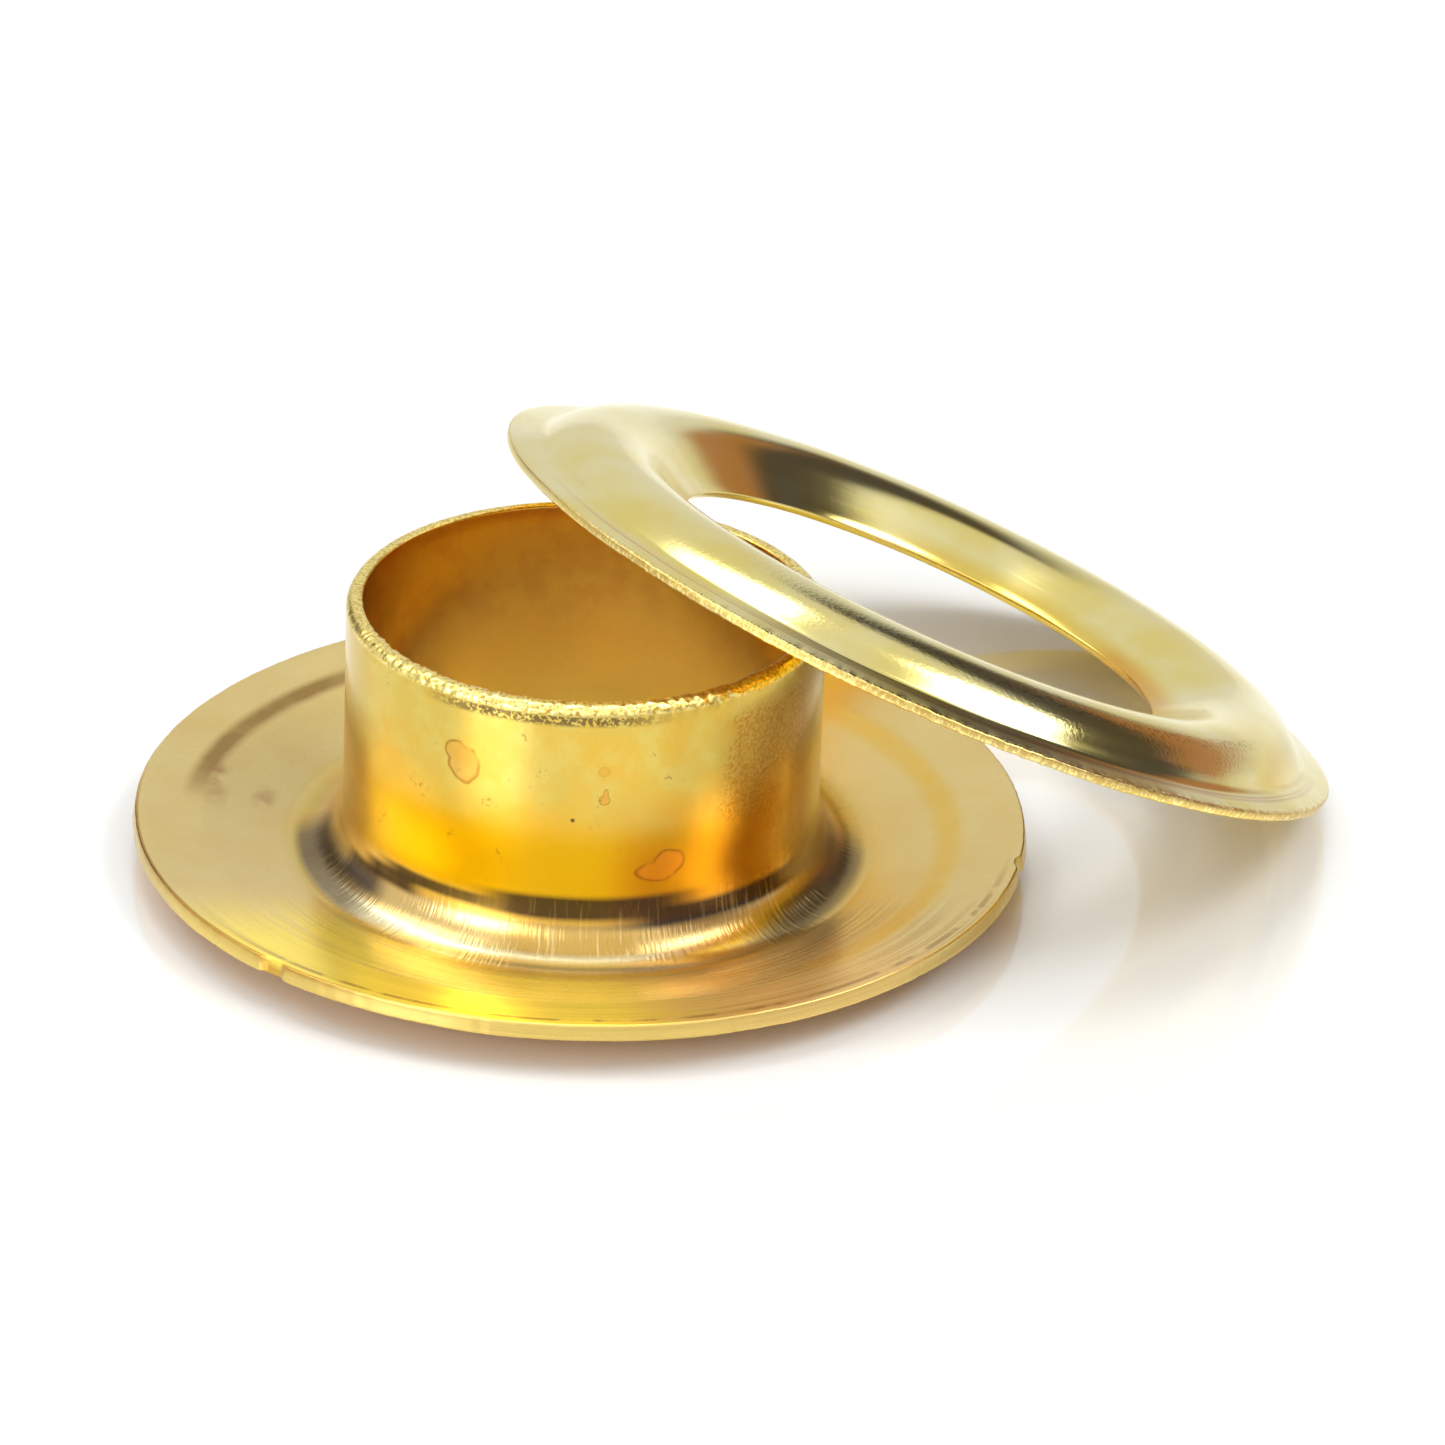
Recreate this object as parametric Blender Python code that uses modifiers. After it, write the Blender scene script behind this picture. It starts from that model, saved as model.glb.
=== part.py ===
"""A two-piece grommet of sheet brass. The barrelled half stands on its foot, and the domed washer that is set over it
leans against it, with one edge on the table and the edge of its hole on the barrel's rim.

Metres, +Z up. The table is at z = 0, and the origin is at the middle of the set's footprint."""

from math import ceil, cos, pi, radians, sin, tan

import bpy
import numpy as np
from mathutils import Euler, Matrix, Vector

# The barrelled half, one piece of drawn sheet.
SHEET = 0.00038
BORE_RADIUS = 0.004965
HEIGHT = 0.00638
RIM_ROUND = 0.00022  # the rim's outer shoulder, worn round by the trimming die
FLANGE_RADIUS = 0.01
FLANGE_LIP = 0.00154  # the outer band of the flange, a little flatter than the cone inside it

# The foot turns the barrel into the flange: a long sweep, then a tight bend to a flat ring that stands on the table.
SWEEP_RADIUS = 0.00427
SWEEP_TURN = radians(20.0)
FOOT_RADIUS = 0.0006
FOOT_FLAT = 0.00024
CONE_BEND_RADIUS = 0.0008
CONE_RISE = radians(14.3)
LIP_RISE = radians(9.6)
LIP_BEND_RADIUS = 0.0012

# The washer, one piece of thinner stamped sheet.
WASHER_SHEET = 0.00022
WASHER_RADIUS = 0.01025
WASHER_CLEARANCE = 0.00045  # between the barrel and the edge of the washer's hole, all round when it is set
CREST_RADIUS = 0.00792  # from the washer's axis to the top of its dome
DOME_RADIUS = 0.0019
INNER_SLOPE = radians(33.7)
OUTER_SLOPE = radians(51.0)
LIP_FILLET = 0.00035
WASHER_LIP_SLOPE = radians(12.0)

# How the washer lies.
WASHER_AZIMUTH = radians(28.5)  # the side it leans away to, from +X towards +Y
WASHER_REACH = 0.00862  # from the barrel's axis to the washer's centre, seen from above
SEAT_GAP = 0.00005  # between the washer's hole and the rim that it rests on

EDGE_BREAK = 0.00005  # the corners of every other cut edge
TURN_STEPS = 80
BEND_STEP = radians(12.0)
CORNER_STEPS = 3
MERGE_DISTANCE = 0.000001

BARREL_RADIUS = BORE_RADIUS + SHEET
HOLE_RADIUS = BARREL_RADIUS + WASHER_CLEARANCE


class SheetPath:
    """The seen face of a bent sheet, followed outwards in the plane of its section, with the metal on its right."""

    def __init__(self, radius, height, heading):
        self.place = Vector((radius, height))
        self.heading = heading
        self.stations = [(self.place.copy(), heading)]

    def mark(self):
        self.stations.append((self.place.copy(), self.heading))

    def run(self, length):
        self.place += length * Vector((cos(self.heading), sin(self.heading)))
        self.mark()

    def run_out_to(self, radius):
        self.run((radius - self.place.x) / cos(self.heading))

    def bend(self, radius, turn):
        """Bend the seen face to a radius; a positive turn is towards the seen side."""
        side = 1.0 if turn > 0.0 else -1.0
        centre = self.place + side * radius * Vector((-sin(self.heading), cos(self.heading)))
        first = self.heading
        steps = ceil(abs(turn) / BEND_STEP)
        for step in range(1, steps + 1):
            self.heading = first + turn * step / steps
            self.place = centre + side * radius * Vector((sin(self.heading), -cos(self.heading)))
            self.mark()

    def face(self, depth):
        """The sheet's points at a depth below the seen face."""
        return [place + depth * Vector((sin(heading), -cos(heading))) for place, heading in self.stations]

    def outline(self, sheet, first_rounding, edge_rounding):
        """The closed section of a sheet, with the first seen corner rounded more than the other three."""
        seen = self.face(0.0)
        hidden = self.face(sheet)[::-1]
        corners = (
            rounded_corner(hidden[-1], seen[0], seen[1], first_rounding),
            rounded_corner(seen[-2], seen[-1], hidden[0], edge_rounding),
            rounded_corner(seen[-1], hidden[0], hidden[1], edge_rounding),
            rounded_corner(hidden[-2], hidden[-1], seen[0], edge_rounding),
        )
        return corners[0] + seen[1:-1] + corners[1] + corners[2] + hidden[1:-1] + corners[3]


def rounded_corner(before, corner, after, radius):
    """The points of an arc that rounds a corner of a section."""
    back = (before - corner).normalized()
    ahead = (after - corner).normalized()
    half = back.angle(ahead) / 2.0
    centre = corner + (back + ahead).normalized() * radius / sin(half)
    spoke = corner + back * radius / tan(half) - centre
    turn = -spoke.angle_signed(corner + ahead * radius / tan(half) - centre)
    return [centre + Matrix.Rotation(turn * step / CORNER_STEPS, 2) @ spoke for step in range(CORNER_STEPS + 1)]


def grommet_outline():
    """Down the barrel's outside, round the foot and out over the flange, and back underneath."""
    foot_height = SWEEP_RADIUS * sin(SWEEP_TURN) + FOOT_RADIUS * (1.0 - sin(SWEEP_TURN))
    path = SheetPath(BARREL_RADIUS, HEIGHT, -pi / 2.0)
    path.run(HEIGHT - foot_height - SHEET)
    path.bend(SWEEP_RADIUS, SWEEP_TURN)
    path.bend(FOOT_RADIUS, pi / 2.0 - SWEEP_TURN)
    path.run(FOOT_FLAT)
    path.bend(CONE_BEND_RADIUS, CONE_RISE)
    path.run_out_to(FLANGE_RADIUS - FLANGE_LIP)
    path.bend(LIP_BEND_RADIUS, LIP_RISE - CONE_RISE)
    path.run_out_to(FLANGE_RADIUS)
    return path.outline(SHEET, RIM_ROUND, EDGE_BREAK)


def washer_outline():
    """Up the slope from the hole, over the dome and out over the lip, and back underneath."""
    path = SheetPath(HOLE_RADIUS, 0.0, INNER_SLOPE)
    path.run_out_to(CREST_RADIUS - DOME_RADIUS * sin(INNER_SLOPE))
    path.bend(DOME_RADIUS, -INNER_SLOPE - OUTER_SLOPE)
    path.bend(LIP_FILLET, OUTER_SLOPE - WASHER_LIP_SLOPE)
    path.run_out_to(WASHER_RADIUS)
    return path.outline(WASHER_SHEET, EDGE_BREAK, EDGE_BREAK)


def spun_points(outline, steps):
    """The points of an outline turned about its axis, as rows of x, y and z."""
    section = np.array([tuple(point) for point in outline])
    angles = np.arange(steps) * 2.0 * pi / steps
    return np.stack(
        (
            np.outer(np.cos(angles), section[:, 0]).ravel(),
            np.outer(np.sin(angles), section[:, 0]).ravel(),
            np.tile(section[:, 1], steps),
        ),
        axis=1,
    )


def leaned(points, tilt):
    """The washer's points as it lies at a tilt, with its lowest point on the table, and how high its centre is."""
    rotation = np.array(Euler((0.0, tilt, WASHER_AZIMUTH)).to_matrix())
    placed = points @ rotation.T
    lift = -placed[:, 2].min()
    placed[:, 0] += WASHER_REACH * cos(WASHER_AZIMUTH)
    placed[:, 1] += WASHER_REACH * sin(WASHER_AZIMUTH)
    placed[:, 2] += lift
    return placed, lift


def rim_clearance(points):
    """The least distance from any of the points to the barrel's wall, negative where one is inside the wall."""
    radius = np.hypot(points[:, 0], points[:, 1])
    height = points[:, 2]
    beside = np.maximum(radius - BARREL_RADIUS, BORE_RADIUS - radius)
    clearance = np.maximum(beside, height - HEIGHT)
    past_bore = (radius < BORE_RADIUS) & (height > HEIGHT)
    clearance[past_bore] = np.hypot(BORE_RADIUS - radius, height - HEIGHT)[past_bore]
    over = radius - BARREL_RADIUS + RIM_ROUND
    up = height - HEIGHT + RIM_ROUND
    shoulder = (over > 0.0) & (up > 0.0)
    clearance[shoulder] = np.hypot(over, up)[shoulder] - RIM_ROUND
    return clearance.min()


def resting_tilt(outline):
    """The tilt at which the washer, let down on the table and the rim, comes to rest on both."""
    points = spun_points(outline, TURN_STEPS * 16)
    low = 0.0
    high = pi / 3.0
    for _ in range(40):
        middle = (low + high) / 2.0
        if rim_clearance(leaned(points, middle)[0]) < SEAT_GAP:
            low = middle
        else:
            high = middle
    return high


def footprint_middle(grommet_section, washer_points):
    """The middle of what the grommet and the washer cover, seen from above."""
    edge = max(point.x for point in grommet_section)
    low = np.minimum(washer_points[:, :2].min(axis=0), -edge)
    high = np.maximum(washer_points[:, :2].max(axis=0), edge)
    return (low + high) / 2.0


def brass(name, colour, roughness):
    material = bpy.data.materials.new(name)
    material.use_nodes = True
    shader = material.node_tree.nodes["Principled BSDF"]
    shader.inputs["Base Color"].default_value = (*colour, 1.0)
    shader.inputs["Metallic"].default_value = 1.0
    shader.inputs["Roughness"].default_value = roughness
    return material


def turned(name, outline, material, collection):
    """A closed outline at +X, turned about Z."""
    mesh = bpy.data.meshes.new(name)
    count = len(outline)
    edges = [(index, (index + 1) % count) for index in range(count)]
    mesh.from_pydata([(point.x, 0.0, point.y) for point in outline], edges, [])
    mesh.materials.append(material)
    piece = bpy.data.objects.new(name, mesh)
    collection.objects.link(piece)
    screw = piece.modifiers.new("Turn", "SCREW")
    screw.steps = TURN_STEPS
    screw.render_steps = TURN_STEPS
    screw.use_merge_vertices = True
    screw.merge_threshold = MERGE_DISTANCE
    screw.use_smooth_shade = True
    return piece


def main():
    for old in list(bpy.data.objects):
        bpy.data.objects.remove(old)
    collection = bpy.data.collections.new("grommet_eyelet")
    bpy.context.scene.collection.children.link(collection)

    grommet_section = grommet_outline()
    washer_section = washer_outline()
    tilt = resting_tilt(washer_section)
    points, lift = leaned(spun_points(washer_section, TURN_STEPS), tilt)
    middle = footprint_middle(grommet_section, points)

    deep_gold = brass("grommet_brass", (0.80, 0.53, 0.16), 0.26)
    grommet = turned("grommet", grommet_section, deep_gold, collection)
    grommet.location = (-middle[0], -middle[1], 0.0)

    pale_gold = brass("washer_brass", (0.84, 0.68, 0.30), 0.2)
    washer = turned("washer", washer_section, pale_gold, collection)
    washer.rotation_euler = (0.0, tilt, WASHER_AZIMUTH)
    washer.location = (
        WASHER_REACH * cos(WASHER_AZIMUTH) - middle[0],
        WASHER_REACH * sin(WASHER_AZIMUTH) - middle[1],
        lift,
    )


main()
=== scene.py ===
# %% [markdown]
# # A brass grommet and its washer
# A sheet grommet is a set of two pieces. One is drawn from a disc of sheet brass into a short barrel with a
# flange round its foot, and the other is a domed ring that is pressed over the barrel from the far side of
# the cloth. Here the barrelled half stands on its foot and the washer leans on it. Both are small, bright and
# a little worn, so most of the look is in the bends of the sheet, in its cut edges, and in what the metal
# reflects.

# %% Load the frame
from math import atan2, cos, degrees, hypot, pi, radians, sin

import bmesh
import bpy
import numpy as np
from mathutils import Matrix, Vector, noise


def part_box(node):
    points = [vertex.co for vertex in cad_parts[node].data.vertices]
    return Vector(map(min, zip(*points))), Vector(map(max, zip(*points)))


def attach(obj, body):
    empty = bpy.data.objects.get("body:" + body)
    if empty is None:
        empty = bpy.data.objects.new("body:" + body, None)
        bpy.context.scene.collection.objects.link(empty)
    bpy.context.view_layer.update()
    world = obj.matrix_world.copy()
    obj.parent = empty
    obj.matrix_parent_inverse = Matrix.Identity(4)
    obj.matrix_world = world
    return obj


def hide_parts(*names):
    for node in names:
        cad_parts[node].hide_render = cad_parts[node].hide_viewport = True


MM = 0.001

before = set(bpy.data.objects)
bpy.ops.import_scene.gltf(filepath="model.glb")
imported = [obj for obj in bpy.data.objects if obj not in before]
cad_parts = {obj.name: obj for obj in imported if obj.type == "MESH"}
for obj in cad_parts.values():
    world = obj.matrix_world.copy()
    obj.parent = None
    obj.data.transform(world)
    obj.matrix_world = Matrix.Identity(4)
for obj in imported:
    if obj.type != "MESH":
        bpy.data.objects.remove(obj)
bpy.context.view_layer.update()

# %% [markdown]
# ## Where the two pieces lie
# The frame holds both pieces in place. The grommet stands upright, so the middle of its box is on its axis.
# The washer leans, and its axis is the direction in which its points spread least, which a singular value
# decomposition finds. Each piece is modelled upright round the Z axis, and one matrix then takes it to its
# place.

# %% Measure how they lie
def node_points(name):
    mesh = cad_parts[name].data
    flat = np.zeros(len(mesh.vertices) * 3, dtype=np.float32)
    mesh.vertices.foreach_get("co", flat)
    return np.unique(flat.reshape(-1, 3).astype(float).round(8), axis=0)


low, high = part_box("grommet")
grommet_height = high.z
grommet_place = Matrix.Translation(((low.x + high.x) / 2, (low.y + high.y) / 2, 0.0))

washer_points = node_points("washer")
washer_middle = washer_points.mean(axis=0)
washer_spread = washer_points - washer_middle
_, _, directions = np.linalg.svd(washer_spread, full_matrices=False)
washer_axis = Vector(directions[2])
washer_axis = washer_axis if washer_axis.z > 0 else -washer_axis
washer_crest = (washer_spread @ np.array(washer_axis)).max()
washer_tilt = washer_axis.angle(Vector((0.0, 0.0, 1.0)))
washer_azimuth = atan2(washer_axis.y, washer_axis.x)
print("the washer leans by", round(degrees(washer_tilt), 2), "degrees towards", round(degrees(washer_azimuth), 2))

# %% [markdown]
# ## A strip of sheet, seen from its edge
# Sheet metal keeps its thickness wherever it bends, so the section of each piece is easiest to make the way a
# press makes it. A short line across the sheet is pushed straight ahead with an extrude, or swung round the
# centre of a bend with a spin, and leaves a strip of faces behind it. Its corners are then rounded with a
# vertex bevel, and only the strip's outline is kept, because that is what is turned round the axis.

# %% The strip and its moves
MERGE_DISTANCE = 0.0002 * MM


class SheetStrip:
    """A section in the XZ plane that grows outwards, with the seen face on the left of its heading."""

    def __init__(self, radius, height, heading, sheet):
        self.mesh = bmesh.new()
        self.heading = heading
        seen = self.mesh.verts.new((radius, 0.0, height))
        hidden = self.mesh.verts.new(seen.co + sheet * Vector((sin(heading), 0.0, -cos(heading))))
        self.across = self.mesh.edges.new((seen, hidden))
        self.seen = seen
        self.corners = [seen, hidden]

    def take_front(self, geometry, seen_place):
        """Remember the foremost line across the sheet, out of what an operator has just made."""
        verts = [item for item in geometry if isinstance(item, bmesh.types.BMVert)]
        self.seen, hidden = sorted(verts, key=lambda vert: (vert.co - seen_place).length)
        self.across = self.mesh.edges.get((self.seen, hidden))

    def push(self, length, steps=1):
        """Go straight ahead."""
        stride = Vector((cos(self.heading), 0.0, sin(self.heading))) * length / steps
        for _ in range(steps):
            made = bmesh.ops.extrude_edge_only(self.mesh, edges=[self.across])["geom"]
            verts = [item for item in made if isinstance(item, bmesh.types.BMVert)]
            seen_place = self.seen.co + stride
            bmesh.ops.translate(self.mesh, verts=verts, vec=stride)
            self.take_front(verts, seen_place)

    def push_out_to(self, radius, steps=1):
        """Go straight ahead until the seen face is at a radius."""
        self.push((radius - self.seen.co.x) / cos(self.heading), steps)

    def swing(self, radius, turn, steps):
        """Bend the seen face to a radius; a positive turn is towards the seen side."""
        side = radius if turn > 0.0 else -radius
        centre = self.seen.co + side * Vector((-sin(self.heading), 0.0, cos(self.heading)))
        self.heading += turn
        seen_place = centre + side * Vector((sin(self.heading), 0.0, -cos(self.heading)))
        made = bmesh.ops.spin(
            self.mesh,
            geom=[self.across, *self.across.verts],
            cent=centre,
            axis=(0.0, -1.0, 0.0),
            dvec=(0.0, 0.0, 0.0),
            angle=turn,
            space=Matrix.Identity(4),
            steps=steps,
            use_merge=False,
            use_normal_flip=False,
            use_duplicate=False,
        )
        self.take_front(made["geom_last"], seen_place)

    def outline(self, roundings, segments):
        """Round the corners, first seen, first hidden, last seen and last hidden, and keep the outline."""
        corners = self.corners + sorted(self.across.verts, key=lambda vert: vert != self.seen)
        for corner, rounding, count in zip(corners, roundings, segments):
            bmesh.ops.bevel(
                self.mesh,
                geom=[corner],
                offset=rounding,
                offset_type="OFFSET",
                segments=count,
                profile=0.5,
                affect="VERTICES",
                material=-1,
            )
        inner = [edge for edge in self.mesh.edges if len(edge.link_faces) > 1]
        bmesh.ops.delete(self.mesh, geom=inner, context="EDGES_FACES")
        return self.mesh


def turn_round(section, steps, doublings=4):
    """Turn a section once round the Z axis: spin one slice, then copy it round until the ring is closed."""
    slice_angle = 2.0 * pi / 2**doublings
    bmesh.ops.spin(
        section,
        geom=section.verts[:] + section.edges[:],
        cent=(0.0, 0.0, 0.0),
        axis=(0.0, 0.0, 1.0),
        dvec=(0.0, 0.0, 0.0),
        angle=slice_angle,
        space=Matrix.Identity(4),
        steps=steps // 2**doublings,
        use_merge=False,
        use_normal_flip=False,
        use_duplicate=False,
    )
    for doubling in range(doublings):
        turn = Matrix.Rotation(slice_angle * 2**doubling, 3, "Z")
        copy = bmesh.ops.duplicate(section, geom=section.verts[:] + section.edges[:] + section.faces[:])["geom"]
        verts = [item for item in copy if isinstance(item, bmesh.types.BMVert)]
        bmesh.ops.rotate(section, verts=verts, cent=(0.0, 0.0, 0.0), matrix=turn)
    bmesh.ops.remove_doubles(section, verts=section.verts, dist=MERGE_DISTANCE)
    bmesh.ops.recalc_face_normals(section, faces=section.faces)
    return section


# %% [markdown]
# ## The section of the barrelled half
# From the rim, the wall runs straight down. It opens in a long sweep, turns through a tight bend to a narrow
# flat ring, which is what stands on the table, and rises again as a shallow cone. The last millimetre and a
# half lies a little flatter. The trimming die has left the rim's outer shoulder round.

# %% Sizes of the barrelled half
SHEET = 0.38 * MM
BARREL_RADIUS = 5.345 * MM
SWEEP_RADIUS = 4.27 * MM
SWEEP_TURN = radians(12.0)
FOOT_RADIUS = 0.95 * MM
FOOT_FLAT = 0.04 * MM
CONE_BEND_RADIUS = 0.8 * MM
CONE_RISE = radians(14.3)
FLANGE_RADIUS = 10.0 * MM
FLANGE_LIP = 1.54 * MM
LIP_BEND_RADIUS = 1.2 * MM
LIP_RISE = radians(9.6)
RIM_ROUND = 0.22 * MM
RIM_SEGMENTS = 8
EDGE_BREAK = 0.05 * MM
EDGE_SEGMENTS = 3
GROMMET_STEPS = 640

foot_height = SWEEP_RADIUS * sin(SWEEP_TURN) + FOOT_RADIUS * (1.0 - sin(SWEEP_TURN))
print("its foot begins", round((foot_height + SHEET) / MM, 2), "mm above the table")

# %% Turn the barrelled half
strip = SheetStrip(BARREL_RADIUS, grommet_height, -pi / 2, SHEET)
strip.push(grommet_height - foot_height - SHEET, steps=10)
strip.swing(SWEEP_RADIUS, SWEEP_TURN, steps=8)
strip.swing(FOOT_RADIUS, pi / 2 - SWEEP_TURN, steps=16)
strip.push(FOOT_FLAT)
strip.swing(CONE_BEND_RADIUS, CONE_RISE, steps=5)
strip.push_out_to(FLANGE_RADIUS - FLANGE_LIP, steps=6)
strip.swing(LIP_BEND_RADIUS, LIP_RISE - CONE_RISE, steps=3)
strip.push_out_to(FLANGE_RADIUS, steps=5)
roundings = (RIM_ROUND, EDGE_BREAK, EDGE_BREAK, EDGE_BREAK)
segments = (RIM_SEGMENTS, EDGE_SEGMENTS, EDGE_SEGMENTS, EDGE_SEGMENTS)
grommet_mesh = turn_round(strip.outline(roundings, segments), GROMMET_STEPS)
print("the barrelled half has", len(grommet_mesh.faces), "faces")

# %% [markdown]
# ## The section of the washer
# The washer is thinner. From the edge of its hole it climbs a straight slope, rolls over a dome, drops
# steeply and ends in a narrow lip. The frame says how high its crest is, so the finished ring slides along
# its own axis until the two crests meet.

# %% Sizes of the washer
WASHER_SHEET = 0.22 * MM
HOLE_RADIUS = 5.795 * MM
WASHER_RADIUS = 10.25 * MM
CREST_RADIUS = 7.92 * MM
DOME_RADIUS = 1.9 * MM
INNER_SLOPE = radians(33.7)
OUTER_SLOPE = radians(51.0)
LIP_FILLET = 0.35 * MM
LIP_SLOPE = radians(12.0)
WASHER_STEPS = 720

slope_end = CREST_RADIUS - DOME_RADIUS * sin(INNER_SLOPE)
print("its inner slope ends", round(slope_end / MM, 2), "mm from the axis")

# %% Turn the washer
strip = SheetStrip(HOLE_RADIUS, 0.0, INNER_SLOPE, WASHER_SHEET)
strip.push_out_to(slope_end, steps=5)
strip.swing(DOME_RADIUS, -INNER_SLOPE - OUTER_SLOPE, steps=24)
strip.swing(LIP_FILLET, OUTER_SLOPE - LIP_SLOPE, steps=8)
strip.push_out_to(WASHER_RADIUS, steps=4)
washer_mesh = turn_round(strip.outline((EDGE_BREAK,) * 4, (EDGE_SEGMENTS,) * 4), WASHER_STEPS)
crest = max(vert.co.z for vert in washer_mesh.verts)
washer_place = (
    Matrix.Translation(washer_middle)
    @ Matrix.Rotation(washer_azimuth, 4, "Z")
    @ Matrix.Rotation(washer_tilt, 4, "Y")
    @ Matrix.Translation((0.0, 0.0, washer_crest - crest))
)
print("the washer has", len(washer_mesh.faces), "faces")


# %% [markdown]
# ## What the dies and the years have done
# No stamped piece is perfectly round or smooth. The sheet is sheared off at the rim and leaves a burr there,
# the flange waves a little and has two nicks in its edge, and every face is slightly uneven, which is what
# makes a reflection in real brass swim. The points of each ring are moved by smooth noise, by hundredths of a
# millimetre, before the ring is taken to its place.

# %% Noise that follows a ring
def near(value, middle, half_width, blur):
    """1 within a half width of a middle, fading to 0 over a blur; degrees count round the turn."""
    away = abs((value - middle + 180.0) % 360.0 - 180.0)
    share = min(max((half_width + blur - away) / blur, 0.0), 1.0)
    return share * share * (3.0 - 2.0 * share)


def ripple(vert, per_mm, seed):
    """Noise in space, with so many waves in a millimetre."""
    return noise.noise(vert.co * (per_mm / MM) + Vector((seed, 0.0, 0.0)))


def ragged(angle, per_turn, seed):
    """Noise along a cut edge, with so many waves in a turn, and the same at both ends of it."""
    reach = per_turn / (2.0 * pi)
    return noise.noise(Vector((cos(radians(angle)) * reach, sin(radians(angle)) * reach, seed)))


def turned_place(vert):
    """A point's angle in degrees, its radius in millimetres and the way out from the axis."""
    radius = hypot(vert.co.x, vert.co.y)
    spoke = Vector((vert.co.x / radius, vert.co.y / radius, 0.0))
    return degrees(atan2(vert.co.y, vert.co.x)), radius / MM, spoke


# %% Wear the barrelled half
RIM_BURR = 0.050 * MM
RIM_WEAR = 0.012 * MM
RIM_TEAR = 0.05 * MM
WALL_UNEVEN = 0.010 * MM
FLANGE_UNEVEN = 0.012 * MM
FLANGE_WAVE = 0.05 * MM
WAVE_START = 6.6
WAVE_SPAN = 3.0
EDGE_WEAR = 0.012 * MM
# An arc is its middle, its half width and its blur in degrees, and a nick is an arc and its depth.
TORN_ARC = (-102.0, 48.0, 36.0)
NICKS = ((-131.0, 0.8, 1.6, 0.09 * MM), (-10.4, 0.5, 1.4, 0.10 * MM))

for vert in grommet_mesh.verts:
    angle, radius, spoke = turned_place(vert)
    torn_side = near(angle, *TORN_ARC)
    rim = near((grommet_height - vert.co.z) / MM, 0.0, 0.05, 0.25)
    burr = 0.5 * ragged(angle, 90.0, 3.0) + 0.5 * ragged(angle, 260.0, 7.0) + 0.3 * ragged(angle, 700.0, 9.0)
    vert.co.z += rim * (RIM_BURR * burr * torn_side - RIM_WEAR * (1.0 + burr))
    vert.co += spoke * rim * torn_side * RIM_TEAR * (ragged(angle, 400.0, 5.0) + ripple(vert, 7.0, 6.0))
    vert.co += spoke * WALL_UNEVEN * ripple(vert, 0.35, 1.0)
    outer = min(max((radius - WAVE_START) / WAVE_SPAN, 0.0), 1.0)
    vert.co.z += outer * (FLANGE_WAVE * ragged(angle, 9.0, 2.0) + FLANGE_UNEVEN * ripple(vert, 0.8, 4.0))
    nick = sum(depth * near(angle, *where) for *where, depth in NICKS)
    edge = near(radius, FLANGE_RADIUS / MM, 0.06, 0.2)
    vert.co -= spoke * edge * (nick + EDGE_WEAR * ragged(angle, 300.0, 8.0))
print("the rim is torn, and the flange waves and has", len(NICKS), "nicks")

# %% Wear the washer
LIP_BURR = 0.020 * MM
LIP_WEAR = 0.008 * MM
WASHER_UNEVEN = 0.014 * MM
STILL_RADIUS = 5.7
STILL_SPAN = 0.5
TORN_ARC = (-112.0, 55.0, 35.0)

for vert in washer_mesh.verts:
    angle, radius, spoke = turned_place(vert)
    torn_side = near(angle, *TORN_ARC)
    edge = near(radius, WASHER_RADIUS / MM, 0.05, 0.16)
    burr = 0.5 * ragged(angle, 160.0, 13.0) + 0.6 * ragged(angle, 520.0, 17.0)
    vert.co += spoke * edge * (LIP_BURR * burr * torn_side - LIP_WEAR * (1.0 + burr))
    vert.co.z += edge * torn_side * LIP_BURR * ragged(angle, 420.0, 19.0)
    vert.co.z += WASHER_UNEVEN * ripple(vert, 0.5, 11.0) * min(1.0, (radius - STILL_RADIUS) / STILL_SPAN)
print("the washer's edge is torn")

# %% [markdown]
# ## Each ring goes to its place
# A ring is easiest to make upright round the Z axis, and the matrix measured from the frame then carries its
# points to where it lies. The points move while the object stays at the origin, unturned and unscaled, as the
# frame's own nodes do. Each ring rides on the one body and stands for the plain node of the same piece.

# %% Put each ring in its place
def piece_from(mesh, name, place, node):
    mesh.transform(place)
    data = bpy.data.meshes.new(name)
    mesh.to_mesh(data)
    mesh.free()
    data.shade_smooth()
    piece = bpy.data.objects.new(name, data)
    bpy.context.scene.collection.objects.link(piece)
    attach(piece, "root")
    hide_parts(node)
    print(name, "measures", [round(size / MM, 2) for size in piece.dimensions], "mm")
    return piece


barrelled_half = piece_from(grommet_mesh, "barrelled_half", grommet_place, "grommet")
domed_washer = piece_from(washer_mesh, "domed_washer", washer_place, "washer")

# %% [markdown]
# ## Sums with sockets
# A finish is mostly arithmetic: how far a point is from an edge, how much of a stain covers it. Drawn as a
# node tree that soon turns into a net. Here one small class holds an output socket and adds a Math node
# whenever two of them are added or multiplied, so that the finish reads like the sentence that describes it.

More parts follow.
